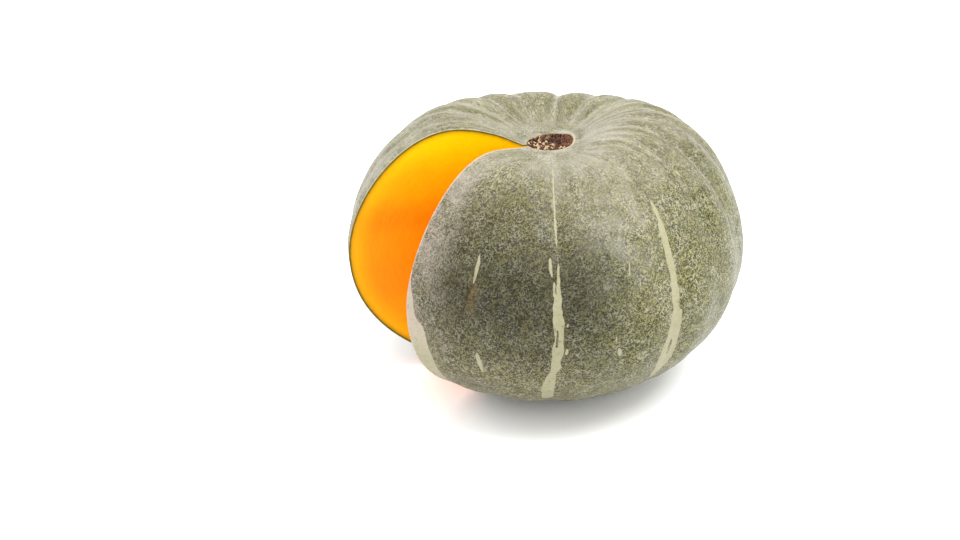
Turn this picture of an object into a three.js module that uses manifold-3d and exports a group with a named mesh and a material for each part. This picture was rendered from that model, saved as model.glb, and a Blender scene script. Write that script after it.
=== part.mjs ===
// A kabocha squash with one wedge cut out of it, from the rind to the stem axis.
// Millimetres, +Z up. It stands on z = 0 with its stem end up, and the cut opens toward -X.
import * as THREE from 'three';
import { mergeVertices } from 'three/addons/utils/BufferGeometryUtils.js';
import Module from 'manifold-3d';

const wasm = await Module();
wasm.setup();

// The fruit's profile, before its ribs. Bearings are in degrees from +X toward +Y.
const RADIUS = 100.4; // stem axis to the ribs, at the widest ring
const WIDEST_HEIGHT = 67.2; // of that ring, above the resting flat
const CROWN = { rise: 81.6, power: 1.8 };
const STEM_HOLLOW = { depth: 32.6, width: 43.4 };
const UNDERSIDE = { drop: 71.5, power: 2.16 };
const BLOSSOM_HOLLOW = { depth: 6, width: 14 };

// It grew a little out of round: shares of the radius, and of the height above the widest ring.
const RADIUS_WAVES = [
  { share: 0.02, lobes: 1, toward: 164 },
  { share: 0.021, lobes: 2, toward: 50 },
];
const HEIGHT_WAVES = [
  { share: 0.016, lobes: 1, toward: -14 },
  { share: 0.072, lobes: 2, toward: -31 },
];
const LEVEL_AT_STEM = { inner: 11, outer: 27 }; // the height waves grow between these radii

// Main furrows alternate with shallow ones.
const MAIN_FURROWS = [202, 239.5, 275.4, 311.5, 347.5, 17, 54, 95.5, 131.5, 167.5];
const SHALLOW_FURROWS = [217, 257.5, 293.5, 329.5, 2, 35, 77, 113.5, 149.5, 185];
const MAIN_DEPTH = 2;
const SHALLOW_DEPTH = 1.2;
const FURROW_HALF_WIDTH = 5.4;
const FURROW_WAVES = [{ share: 0.3, lobes: 1, toward: 290 }]; // shallower behind
// Between these slopes a furrow deepens, then shallows to a share of its depth, and fades out.
// The slope is 0 at the stem, 90 at the widest ring and 180 at the blossom end.
const FURROW_ALONG = {
  deepens: [7, 34],
  shallows: [45, 88],
  flattens: [95, 135],
  fades: [158, 175],
};
const WIDEST_SHARE = 0.6;
const UNDERSIDE_SHARE = 0.3;

// The corky scar where the stem broke off.
const SCAR = { halfLength: 13.3, halfWidth: 10.2, toward: 10, point: 0.35, sunk: 0.9, lip: 0.5 };
const SCAR_FLOOR_SHARE = 0.72; // of its radius, inside which it is sunk and lumpy
const SCAR_LIP_SHARE = 0.9;
const CORK_LUMPS = { height: 0.6, turnsX: 1.1, turnsY: 0.7, crossX: -0.6, crossY: 0.9 };

// The wedge, from an upright corner line just inside the scar's blunt end.
const CORNER = { x: -10.6, y: 0.8 };
const CUT_BEARINGS = { far: 159.3, near: 200.5 };
const CUTTER = { reach: 135, bottom: -12, top: 150 };

// The seed pulp that the cut faces show, as a half ellipse beside the corner line.
const PULP = { middle: 61, halfHeight: 43, reach: 50, recess: 0.9, edge: [0.88, 1.04] };
const SOCKET = { halfLength: 4.2, halfWidth: 2.2, depth: 1.7 };
const SOCKET_FAN = 156; // degrees that each row of sockets spreads over
const SOCKET_ROWS = [
  { share: 0.36, count: 5 },
  { share: 0.58, count: 7 },
  { share: 0.8, count: 9 },
];
const TORN_HOLLOW = { height: 80, halfHeight: 11, depth: 5, reach: 7 };
const CORNER_EASE = 8; // the faces' relief grows over this distance from the corner line

// Grid steps.
const STEPS_IN_RIB = [0, 0.17, 0.38, 0.62, 0.83];
const SCAR_RINGS = [0.28, 0.5, 0.72, 0.9, 1];
const FIRST_RIND_SLOPE = 9; // the first ring outside the scar
const CROWN_STEPS = 15;
const UNDERSIDE_STEPS = 13;
const PULP_STEP = 3.6;
const OUTER_STEPS = [72, 95]; // on a cut face, beyond the pulp

const radians = THREE.MathUtils.degToRad;
const smooth = THREE.MathUtils.smoothstep;

// Angle between two bearings, in degrees, from -180 to 180.
function turnBetween(a, b) {
  return THREE.MathUtils.euclideanModulo(a - b + 180, 360) - 180;
}

function waves(list, bearing) {
  const sum = (total, w) => total + w.share * Math.cos(w.lobes * radians(bearing - w.toward));
  return list.reduce(sum, 1);
}

function crownHeight(r) {
  const q = Math.min(r / RADIUS, 1);
  const dome = CROWN.rise * (1 - q ** CROWN.power) ** (1 / CROWN.power);
  return dome - STEM_HOLLOW.depth * Math.exp(-((r / STEM_HOLLOW.width) ** 2));
}

function undersideHeight(r) {
  const q = Math.min(r / RADIUS, 1);
  const bowl = UNDERSIDE.drop * (1 - q ** UNDERSIDE.power) ** (1 / UNDERSIDE.power);
  return BLOSSOM_HOLLOW.depth * Math.exp(-((r / BLOSSOM_HOLLOW.width) ** 2)) - bowl;
}

// The rind without its ribs.
function smoothRind(slope, bearing) {
  const r = RADIUS * Math.sin(radians(slope));
  const out = r * waves(RADIUS_WAVES, bearing);
  const grow = smooth(r, LEVEL_AT_STEM.inner, LEVEL_AT_STEM.outer);
  const stretch = 1 + (waves(HEIGHT_WAVES, bearing) - 1) * grow;
  const z = slope < 90 ? crownHeight(r) * stretch : undersideHeight(r);
  return new THREE.Vector3(
    out * Math.cos(radians(bearing)),
    out * Math.sin(radians(bearing)),
    WIDEST_HEIGHT + z,
  );
}

// How deep the furrows are at a bearing, where they are deepest.
function furrowDepth(bearing) {
  const groove = (depth) => (total, at) =>
    total + depth * Math.exp(-((turnBetween(bearing, at) / FURROW_HALF_WIDTH) ** 2));
  const main = MAIN_FURROWS.reduce(groove(MAIN_DEPTH), 0);
  const shallow = SHALLOW_FURROWS.reduce(groove(SHALLOW_DEPTH), 0);
  return (main + shallow) * waves(FURROW_WAVES, bearing);
}

// How much of that depth is left at a slope.
function furrowShare(slope) {
  const crown = smooth(slope, ...FURROW_ALONG.deepens);
  const widest = 1 - (1 - WIDEST_SHARE) * smooth(slope, ...FURROW_ALONG.shallows);
  const loss = 1 - UNDERSIDE_SHARE / WIDEST_SHARE;
  const underside = 1 - loss * smooth(slope, ...FURROW_ALONG.flattens);
  return crown * widest * underside * (1 - smooth(slope, ...FURROW_ALONG.fades));
}

function rindPoint(slope, bearing) {
  const point = smoothRind(slope, bearing);
  const nudge = 0.5;
  const along = smoothRind(slope + nudge, bearing).sub(smoothRind(slope - nudge, bearing));
  const around = new THREE.Vector3(-Math.sin(radians(bearing)), Math.cos(radians(bearing)), 0);
  const outward = along.cross(around).normalize();
  return point.addScaledVector(outward, -furrowDepth(bearing) * furrowShare(slope));
}

// The scar's edge is an almond: blunt at the cut, pointed at the other end.
function scarRadius(bearing) {
  const turn = radians(bearing - SCAR.toward);
  const power = 2 - SCAR.point * Math.cos(turn);
  const length = Math.abs(Math.cos(turn) / SCAR.halfLength) ** power;
  const width = Math.abs(Math.sin(turn) / SCAR.halfWidth) ** power;
  return (length + width) ** (-1 / power);
}

function scarPoint(share, bearing) {
  const r = share * scarRadius(bearing);
  const x = r * Math.cos(radians(bearing));
  const y = r * Math.sin(radians(bearing));
  const inside = 1 - smooth(share, SCAR_FLOOR_SHARE, 1);
  const lip = SCAR.lip * smooth(share, SCAR_LIP_SHARE, 1);
  const lumps = CORK_LUMPS.height
    * Math.sin(CORK_LUMPS.turnsX * x + CORK_LUMPS.turnsY * y)
    * Math.cos(CORK_LUMPS.crossX * x + CORK_LUMPS.crossY * y);
  const z = WIDEST_HEIGHT + crownHeight(r) + lip + (lumps - SCAR.sunk) * inside;
  return new THREE.Vector3(x, y, z);
}

// A closed geometry as a solid that can be cut.
function toSolid(geometry) {
  geometry.deleteAttribute('normal');
  geometry.deleteAttribute('uv');
  const merged = mergeVertices(geometry);
  const mesh = new wasm.Mesh({
    numProp: 3,
    vertProperties: new Float32Array(merged.attributes.position.array),
    triVerts: new Uint32Array(merged.index.array),
  });
  return new wasm.Manifold(mesh);
}

// The same from points, and triangles as lists of three point numbers.
function solidOf(points, triangles) {
  const geometry = new THREE.BufferGeometry().setFromPoints(points);
  geometry.setIndex(triangles.flat());
  return toSolid(geometry);
}

// The whole fruit, as rings from the scar's middle down to the blossom end.
function wholeFruit() {
  const furrows = [...MAIN_FURROWS, ...SHALLOW_FURROWS].sort((a, b) => a - b);
  const bearings = furrows.flatMap((start, i) => {
    const end = i + 1 < furrows.length ? furrows[i + 1] : furrows[0] + 360;
    return STEPS_IN_RIB.map((share) => start + share * (end - start));
  });
  const slopes = [];
  for (let i = 0; i < CROWN_STEPS; i++) {
    slopes.push(FIRST_RIND_SLOPE + ((90 - FIRST_RIND_SLOPE) * i) / CROWN_STEPS);
  }
  for (let i = 0; i < UNDERSIDE_STEPS; i++) slopes.push(90 + (90 * i) / UNDERSIDE_STEPS);

  const rings = [
    ...SCAR_RINGS.map((share) => bearings.map((bearing) => scarPoint(share, bearing))),
    ...slopes.map((slope) => bearings.map((bearing) => rindPoint(slope, bearing))),
  ];
  const count = bearings.length;
  const points = [scarPoint(0, 0), ...rings.flat(), smoothRind(180, 0)];
  const last = points.length - 1;
  const at = (ring, column) => 1 + ring * count + (column % count);
  const triangles = [];
  for (let c = 0; c < count; c++) {
    triangles.push([0, at(0, c), at(0, c + 1)]);
    triangles.push([last, at(rings.length - 1, c + 1), at(rings.length - 1, c)]);
    for (let r = 0; r + 1 < rings.length; r++) {
      triangles.push([at(r, c), at(r + 1, c), at(r + 1, c + 1)]);
      triangles.push([at(r, c), at(r + 1, c + 1), at(r, c + 1)]);
    }
  }
  return solidOf(points, triangles);
}

// How far a cut face is sunk, at a distance from the corner line and a height. The shift turns the
// sockets a share of one step, so that the two faces differ.
function faceRelief(out, z, shift) {
  const across = out / PULP.reach;
  const up = (z - PULP.middle) / PULP.halfHeight;
  const inPulp = 1 - smooth(Math.hypot(across, up), ...PULP.edge);
  let sunk = PULP.recess;
  for (const { share, count } of SOCKET_ROWS) {
    for (let i = 0; i < count; i++) {
      const turn = radians(SOCKET_FAN * ((i + 0.5 + shift) / count - 0.5));
      const dx = out - share * PULP.reach * Math.cos(turn);
      const dz = z - PULP.middle - share * PULP.halfHeight * Math.sin(turn);
      const long = (dx * Math.cos(turn) + dz * Math.sin(turn)) / SOCKET.halfLength;
      const wide = (dz * Math.cos(turn) - dx * Math.sin(turn)) / SOCKET.halfWidth;
      sunk += SOCKET.depth * Math.exp(-(long ** 2) - wide ** 2);
    }
  }
  return sunk * inPulp * smooth(out, 0, CORNER_EASE);
}

// The wedge that is cut away, between two faces that meet at the corner line.
function wedge() {
  const outs = [];
  for (let out = 0; out < PULP.reach + PULP_STEP; out += PULP_STEP) outs.push(out);
  outs.push(...OUTER_STEPS, CUTTER.reach);
  const top = PULP.middle + PULP.halfHeight + PULP_STEP;
  const heights = [CUTTER.bottom];
  for (let z = PULP.middle - PULP.halfHeight - PULP_STEP; z <= top; z += PULP_STEP) heights.push(z);
  heights.push(CUTTER.top);

  const facePoint = (bearing, side, shift) => (out, z) => {
    const along = new THREE.Vector3(Math.cos(radians(bearing)), Math.sin(radians(bearing)), 0);
    const inward = new THREE.Vector3(-along.y, along.x, 0).multiplyScalar(side);
    const torn = TORN_HOLLOW.depth
      * Math.exp(-(((z - TORN_HOLLOW.height) / TORN_HOLLOW.halfHeight) ** 2))
      * Math.exp(-((out / TORN_HOLLOW.reach) ** 2));
    return new THREE.Vector3(CORNER.x + torn, CORNER.y, z)
      .addScaledVector(along, out)
      .addScaledVector(inward, faceRelief(out, z, shift));
  };
  const farPoint = facePoint(CUT_BEARINGS.far, -1, 0);
  const nearPoint = facePoint(CUT_BEARINGS.near, 1, 0.25);
  const rows = heights.length;
  const grid = (point) => outs.flatMap((out) => heights.map((z) => point(out, z)));
  const points = [...grid(farPoint), ...grid(nearPoint)];
  const far = (i, j) => i * rows + j;
  const near = (i, j) => (outs.length + i) * rows + j;

  const triangles = [];
  const quad = (a, b, c, d) => triangles.push([a, b, c], [a, c, d]);
  const ends = outs.length - 1;
  const lid = rows - 1;
  for (let i = 0; i < ends; i++) {
    for (let j = 0; j < lid; j++) {
      quad(far(i, j), far(i + 1, j), far(i + 1, j + 1), far(i, j + 1));
      quad(near(i, j), near(i, j + 1), near(i + 1, j + 1), near(i + 1, j));
    }
    if (i > 0) {
      quad(far(i, 0), near(i, 0), near(i + 1, 0), far(i + 1, 0));
      quad(far(i, lid), far(i + 1, lid), near(i + 1, lid), near(i, lid));
    } else {
      triangles.push([far(0, 0), near(1, 0), far(1, 0)]);
      triangles.push([far(0, lid), far(1, lid), near(1, lid)]);
    }
  }
  for (let j = 0; j < lid; j++) quad(far(ends, j), near(ends, j), near(ends, j + 1), far(ends, j + 1));
  return solidOf(points, triangles);
}

// Everything under the resting flat.
function floorBlock() {
  const size = 4 * RADIUS;
  return toSolid(new THREE.BoxGeometry(size, size, size).translate(0, 0, -size / 2));
}

function squashGeometry() {
  const cut = wholeFruit().subtract(floorBlock()).subtract(wedge());
  const { vertProperties, triVerts } = cut.getMesh();
  const geometry = new THREE.BufferGeometry();
  geometry.setAttribute('position', new THREE.BufferAttribute(vertProperties, 3));
  geometry.setIndex(new THREE.BufferAttribute(triVerts, 1));
  geometry.computeBoundingBox();
  const middle = geometry.boundingBox.getCenter(new THREE.Vector3());
  geometry.translate(-middle.x, -middle.y, 0);
  geometry.computeVertexNormals();
  return geometry;
}

const rind = new THREE.MeshStandardMaterial({ color: 0x77796a, roughness: 0.5, metalness: 0 });
const squash = new THREE.Mesh(squashGeometry(), rind);
squash.name = 'squash';

const kabocha = new THREE.Group();
kabocha.add(squash);

export default kabocha;
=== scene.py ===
"""A kabocha squash with one wedge cut out, on a pale floor under soft light."""
import math

import bpy
import numpy as np
from mathutils import Matrix, Vector, noise


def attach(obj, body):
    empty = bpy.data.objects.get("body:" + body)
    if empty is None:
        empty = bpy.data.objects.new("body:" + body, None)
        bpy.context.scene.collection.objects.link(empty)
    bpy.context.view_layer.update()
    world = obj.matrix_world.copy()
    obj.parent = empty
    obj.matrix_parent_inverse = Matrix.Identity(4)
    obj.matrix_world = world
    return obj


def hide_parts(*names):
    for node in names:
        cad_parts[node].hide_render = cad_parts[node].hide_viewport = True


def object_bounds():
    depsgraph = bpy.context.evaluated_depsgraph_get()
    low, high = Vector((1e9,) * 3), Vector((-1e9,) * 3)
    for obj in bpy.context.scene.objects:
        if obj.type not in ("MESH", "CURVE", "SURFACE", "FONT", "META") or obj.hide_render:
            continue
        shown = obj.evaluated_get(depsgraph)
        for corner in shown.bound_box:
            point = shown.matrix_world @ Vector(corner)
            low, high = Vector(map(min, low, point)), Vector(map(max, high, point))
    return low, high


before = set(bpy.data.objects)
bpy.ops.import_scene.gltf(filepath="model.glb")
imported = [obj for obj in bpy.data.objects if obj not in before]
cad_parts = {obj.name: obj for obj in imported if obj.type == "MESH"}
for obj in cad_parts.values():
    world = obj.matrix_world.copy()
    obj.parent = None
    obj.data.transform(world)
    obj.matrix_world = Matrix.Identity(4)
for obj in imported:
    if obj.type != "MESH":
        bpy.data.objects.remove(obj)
cad_low, cad_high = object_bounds()

MM = 0.001  # the fruit's own sizes are in millimetres, and its meshes in metres

# The fruit's profile, before its ribs. Bearings are in degrees from +X toward +Y.
RADIUS = 100.4
WIDEST_HEIGHT = 67.2
CROWN_RISE, CROWN_POWER = 81.6, 1.8
STEM_HOLLOW_DEPTH, STEM_HOLLOW_WIDTH = 32.6, 43.4
UNDERSIDE_DROP, UNDERSIDE_POWER = 71.5, 2.16
BLOSSOM_HOLLOW_DEPTH, BLOSSOM_HOLLOW_WIDTH = 6, 14

# Shares of the radius, and of the height above the widest ring: (share, lobes, toward).
RADIUS_WAVES = ((0.02, 1, 164), (0.021, 2, 50))
HEIGHT_WAVES = ((0.016, 1, -14), (0.072, 2, -31))
LEVEL_AT_STEM = (11, 27)

# The furrows' bearings, and the slopes between which they deepen and fade.
MAIN_FURROWS = (202, 239.5, 275.4, 311.5, 347.5, 17, 54, 95.5, 131.5, 167.5)
SHALLOW_FURROWS = (217, 257.5, 293.5, 329.5, 2, 35, 77, 113.5, 149.5, 185)
MAIN_DEPTH, SHALLOW_DEPTH, FURROW_HALF_WIDTH = 2, 1.2, 5.4
FURROW_WAVES = ((0.3, 1, 290),)
DEEPENS, SHALLOWS, FLATTENS, FADES = (7, 34), (45, 88), (95, 135), (158, 175)
WIDEST_SHARE, UNDERSIDE_SHARE = 0.6, 0.3

# The stem scar.
SCAR_HALF_LENGTH, SCAR_HALF_WIDTH, SCAR_TOWARD, SCAR_POINT = 13.3, 10.2, 10, 0.35
SCAR_SUNK, SCAR_LIP = 0.9, 0.5
SCAR_EDGE_SLOPE, FIRST_RIND_SLOPE = 7.4, 9

# The cut's upright corner line, and the bearings in which its two faces leave it.
CORNER = np.array((-10.6, 0.8))
FAR_CUT, NEAR_CUT = 159.3, 200.5

# The seed pulp on the cut faces, with its empty sockets and the torn hollow at the corner.
PULP_MIDDLE, PULP_HALF_HEIGHT, PULP_REACH, PULP_RECESS = 61, 43, 50, 0.9
SOCKET_HALF_LENGTH, SOCKET_HALF_WIDTH, SOCKET_DEPTH = 4.2, 2.2, 1.7
SOCKET_FAN = 156
SOCKET_ROWS = ((0.36, 5), (0.58, 7), (0.8, 9))
TORN_HEIGHT, TORN_HALF_HEIGHT, TORN_DEPTH, TORN_REACH = 80, 11, 5, 7
CORNER_EASE = 8

# The meshes' steps.
COLUMNS = 400
SCAR_RINGS, COLLAR_RINGS, CROWN_RINGS, UNDERSIDE_RINGS, BLOSSOM_RINGS = 24, 5, 96, 92, 6
FACE_STEPS = 110
CUT_FADE_COLUMNS = 6  # the relief fades out over these beside the cut

# The camera, seen from the stem axis at the resting flat.
CAMERA_BEARING = 239.9
CAMERA_ELEVATION = 27
CAMERA_DISTANCE = 0.8772
AIM_LEFT, AIM_HEIGHT = 0.0345, 0.04775
LENS, SENSOR = 65.28, 36

# The studio.
WORLD_STRENGTH, KEY_WATTS, LEFT_WATTS = 1.75, 17, 7
FLOOR_TONE, FLOOR_HALF = 0.94, 3.0


def cosd(degrees):
    return np.cos(np.radians(degrees))


def sind(degrees):
    return np.sin(np.radians(degrees))


def smooth(x, low, high):
    t = np.clip((x - low) / (high - low), 0, 1)
    return t * t * (3 - 2 * t)


def facing(bearing, middle, low, high):
    """From 0 to 1, as the cosine of the turn away from the middle bearing goes from low to high."""
    return smooth(cosd(bearing - middle), low, high)


def waves(terms, bearing):
    return 1 + sum(share * cosd(lobes * (bearing - toward)) for share, lobes, toward in terms)


def noise_at(points, size, octaves=3, seed=0.0):
    """Smooth noise from about -1 to 1. Its features are about as large as size, in millimetres."""
    shift = Vector((seed, -seed, seed * 0.7))
    scaled = np.asarray(points, float) / size
    values = [noise.fractal(Vector(p) + shift, 0.9, 2.1, octaves) for p in scaled.reshape(-1, 3)]
    return np.array(values).reshape(scaled.shape[:-1])


# The rind's surface

def crown_height(r):
    q = np.minimum(r / RADIUS, 1)
    dome = CROWN_RISE * (1 - q**CROWN_POWER) ** (1 / CROWN_POWER)
    return dome - STEM_HOLLOW_DEPTH * np.exp(-((r / STEM_HOLLOW_WIDTH) ** 2))


def underside_height(r):
    q = np.minimum(r / RADIUS, 1)
    bowl = UNDERSIDE_DROP * (1 - q**UNDERSIDE_POWER) ** (1 / UNDERSIDE_POWER)
    return BLOSSOM_HOLLOW_DEPTH * np.exp(-((r / BLOSSOM_HOLLOW_WIDTH) ** 2)) - bowl


def smooth_rind(slope, bearing):
    """The rind without ribs. The slope is 0 at the stem, 90 at the widest ring and 180 below it."""
    r = RADIUS * sind(slope)
    out = r * waves(RADIUS_WAVES, bearing)
    stretch = 1 + (waves(HEIGHT_WAVES, bearing) - 1) * smooth(r, *LEVEL_AT_STEM)
    z = np.where(slope < 90, crown_height(r) * stretch, underside_height(r))
    return np.stack([out * cosd(bearing), out * sind(bearing), WIDEST_HEIGHT + z], -1)


def furrow_depth(bearing):
    """The furrows' full depth at a bearing, in millimetres."""
    def grooves(furrows, depth):
        away = [(bearing - at + 180) % 360 - 180 for at in furrows]
        return depth * sum(np.exp(-((a / FURROW_HALF_WIDTH) ** 2)) for a in away)

    both = grooves(MAIN_FURROWS, MAIN_DEPTH) + grooves(SHALLOW_FURROWS, SHALLOW_DEPTH)
    return both * waves(FURROW_WAVES, bearing)


def furrow_share(slope):
    """How much of that depth they have at a slope."""
    widest = 1 - (1 - WIDEST_SHARE) * smooth(slope, *SHALLOWS)
    underside = 1 - (1 - UNDERSIDE_SHARE / WIDEST_SHARE) * smooth(slope, *FLATTENS)
    return smooth(slope, *DEEPENS) * widest * underside * (1 - smooth(slope, *FADES))


def rind_point(slope, bearing):
    """The rind with its furrows."""
    slope, bearing = np.broadcast_arrays(np.asarray(slope, float), np.asarray(bearing, float))
    nudge = 0.5
    along = smooth_rind(slope + nudge, bearing) - smooth_rind(slope - nudge, bearing)
    around = np.stack([-sind(bearing), cosd(bearing), 0 * bearing], -1)
    outward = np.cross(along, around)
    outward /= np.linalg.norm(outward, axis=-1, keepdims=True)
    depth = furrow_depth(bearing) * furrow_share(slope)
    return smooth_rind(slope, bearing) - outward * depth[..., None]


def scar_radius(bearing):
    """The scar's outline: an oval, more pointed toward SCAR_TOWARD."""
    turn = bearing - SCAR_TOWARD
    power = 2 - SCAR_POINT * cosd(turn)
    length = np.abs(cosd(turn) / SCAR_HALF_LENGTH) ** power
    width = np.abs(sind(turn) / SCAR_HALF_WIDTH) ** power
    return (length + width) ** (-1 / power)


def scar_point(share, bearing):
    """From the scar's middle, share 0, to its edge, share 1."""
    share, bearing = np.broadcast_arrays(np.asarray(share, float), np.asarray(bearing, float))
    r = share * scar_radius(bearing)
    sunk = SCAR_SUNK * (1 - smooth(share, 0.8, 0.97))
    lip = SCAR_LIP * smooth(share, 0.9, 1)
    z = WIDEST_HEIGHT + crown_height(r) - sunk + lip
    return np.stack([r * cosd(bearing), r * sind(bearing), z], -1)


def collar_point(share, bearing):
    """From the scar's edge, share 0, to the first ring of the rind, share 1."""
    share, bearing = np.broadcast_arrays(np.asarray(share, float), np.asarray(bearing, float))
    first = RADIUS * sind(FIRST_RIND_SLOPE)
    r = scar_radius(bearing) * (1 - share) + first * waves(RADIUS_WAVES, bearing) * share
    lip = SCAR_LIP * (1 - smooth(share, 0, 0.8))
    z = WIDEST_HEIGHT + crown_height(r) + lip
    return np.stack([r * cosd(bearing), r * sind(bearing), z], -1)


# Rings from the scar's middle to the blossom end: each is (kind, value)

CORNER_BEARING = math.degrees(math.atan2(CORNER[1], CORNER[0])) % 360
CORNER_RADIUS = float(np.hypot(*CORNER))


def ring_list():
    """The rings, and the numbers of those that pass through the corner line's two ends."""
    corner_share = CORNER_RADIUS / float(scar_radius(np.array(CORNER_BEARING)))
    wave = waves(RADIUS_WAVES, CORNER_BEARING)
    corner_slope = 180 - math.degrees(math.asin(CORNER_RADIUS / (RADIUS * wave)))
    closed = round(corner_share * SCAR_RINGS)
    scar = [("scar", corner_share * (i + 1) / closed) for i in range(closed)]
    scar += [("scar", corner_share + (1 - corner_share) * (i + 1) / (SCAR_RINGS - closed))
             for i in range(SCAR_RINGS - closed)]
    collar = [("collar", (i + 1) / COLLAR_RINGS) for i in range(COLLAR_RINGS - 1)]
    crown = [("rind", FIRST_RIND_SLOPE + (90 - FIRST_RIND_SLOPE) * i / CROWN_RINGS)
             for i in range(CROWN_RINGS)]
    below = [("rind", 90 + (corner_slope - 90) * i / UNDERSIDE_RINGS)
             for i in range(UNDERSIDE_RINGS + 1)]
    blossom = [("rind", corner_slope + (180 - corner_slope) * (i + 1) / (BLOSSOM_RINGS + 1))
               for i in range(BLOSSOM_RINGS)]
    rings = scar + collar + crown + below + blossom
    top = closed - 1
    bottom = len(scar) + len(collar) + len(crown) + len(below) - 1
    return rings, top, bottom


RINGS, TOP_CORNER, BOTTOM_CORNER = ring_list()
POINT_OF = {"scar": scar_point, "collar": collar_point, "rind": rind_point}


def ring_points(ring, bearings):
    kind, value = ring
    points = POINT_OF[kind](value, bearings)
    points[..., 2] = np.maximum(points[..., 2], 0)
    return points


def cut_bearing(ring, cut):
    """The bearing at which a ring meets a cut face's plane."""
    bearing = np.array(CORNER_BEARING)
    along = np.array([cosd(cut), sind(cut)])
    for _ in range(12):
        radius = np.hypot(*ring_points(ring, bearing)[:2])
        b = CORNER @ along
        out = -b + math.sqrt(max(b * b - CORNER @ CORNER + radius * radius, 0))
        spot = CORNER + max(out, 0) * along
        bearing = np.array(math.degrees(math.atan2(spot[1], spot[0])) % 360)
    return float(bearing)


def rind_grid():
    """Points of every ring, with its bearings, as rings x (columns + 1)."""
    points, bearings = [], []
    for i, ring in enumerate(RINGS):
        open_ring = TOP_CORNER < i < BOTTOM_CORNER
        near = cut_bearing(ring, NEAR_CUT) if open_ring else CORNER_BEARING
        far = cut_bearing(ring, FAR_CUT) if open_ring else CORNER_BEARING
        row = np.linspace(near, far + 360, COLUMNS + 1)
        points.append(ring_points(ring, row))
        bearings.append(row)
    return np.array(points), np.array(bearings)


grid, grid_bearings = rind_grid()
grid_low, grid_high = grid.reshape(-1, 3).min(0), grid.reshape(-1, 3).max(0)
frame_middle = np.array((cad_low + cad_high) / 2)[:2] / MM
STEM = frame_middle - (grid_low[:2] + grid_high[:2]) / 2  # the stem axis in the frame, in millimetres


def to_frame(points):
    moved = np.array(points, float)
    moved[..., :2] += STEM
    return moved * MM


def new_piece(name, vertices, faces, attributes, material):
    mesh = bpy.data.meshes.new(name)
    mesh.from_pydata(to_frame(vertices).tolist(), [], faces)
    for key, values in attributes.items():
        values = np.asarray(values, np.float32)
        kind = "FLOAT_VECTOR" if values.ndim == 2 else "FLOAT"
        layer = mesh.attributes.new(key, kind, "POINT")
        layer.data.foreach_set("vector" if values.ndim == 2 else "value", values.ravel())
    mesh.polygons.foreach_set("use_smooth", np.ones(len(mesh.polygons), bool))
    mesh.materials.append(material)
    mesh.update()
    piece = bpy.data.objects.new(name, mesh)
    bpy.context.scene.collection.objects.link(piece)
    return piece


# Materials

LIGHT, GLOSS = 2.05, 0.025  # what the studio's light makes of a surface's own colour, and adds to it
FLESH_YELLOW = (0.78, 0.42, 0.0, 1)
FLESH_MIDDLE = (0.78, 0.27, 0.0, 1)
FLESH_ORANGE = (0.77, 0.195, 0.0, 1)
FLESH_DEEP = (0.7, 0.09, 0.0, 1)
FLESH_PALE = (0.8, 0.42, 0.09, 1)


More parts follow.
